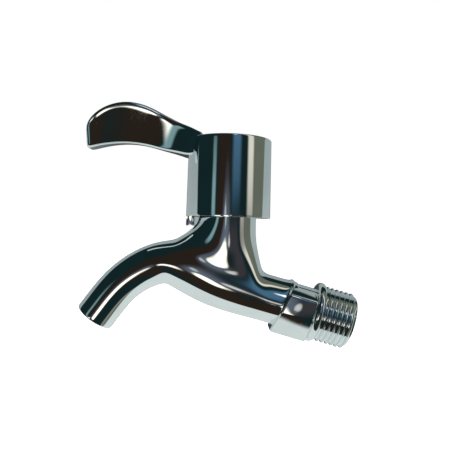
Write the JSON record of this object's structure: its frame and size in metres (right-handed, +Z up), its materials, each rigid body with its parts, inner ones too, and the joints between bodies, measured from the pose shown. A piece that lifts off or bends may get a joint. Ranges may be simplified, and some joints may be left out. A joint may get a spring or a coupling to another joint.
{
  "type": "hose bib",
  "caption": "Wall-mounted bib tap with a quarter-turn lever handle, leaning neck, down-curved spout and male inlet thread.",
  "frame": {"origin": "centre of the inlet's end face, on the axis of the male pipe thread", "axes": "+X along the inlet thread, out of the tap into the wall; +Z up as installed; the spout and the lever point to -X"},
  "size_m": [0.1153, 0.0316, 0.0848],
  "materials": {
    "chrome_body": "polished chrome plate on cast brass",
    "chrome_handle": "polished chrome plate on a die casting",
    "brass": "machined",
    "steel": "machined stainless",
    "ceramic": "lapped ceramic",
    "white_plastic": "moulded",
    "rubber": "moulded rubber"
  },
  "bodies": {
    "tap": {"body": "chrome_body", "cartridge_housing": "brass", "housing_gasket": "rubber", "seat_ring": "rubber", "support_ring": "white_plastic", "fixed_disc": "ceramic", "thrust_washer": "white_plastic", "clip_washer": "brass"},
    "lever": {"handle": "chrome_handle", "spline_insert": "white_plastic", "lock_washer": "steel", "handle_screw": "steel", "index_plug": "chrome_handle", "spindle": "brass", "spindle_o_ring_lower": "rubber", "spindle_o_ring_upper": "rubber", "retaining_clip": "steel", "moving_disc": "ceramic"}
  },
  "joints": [
    {"name": "quarter_turn", "type": "hinge", "parent": "tap", "child": "lever", "pos_m": [-0.0482, 0, 0], "axis": [-0.2554, 0, 0.9668], "range_deg": [0, 90]}
  ]
}
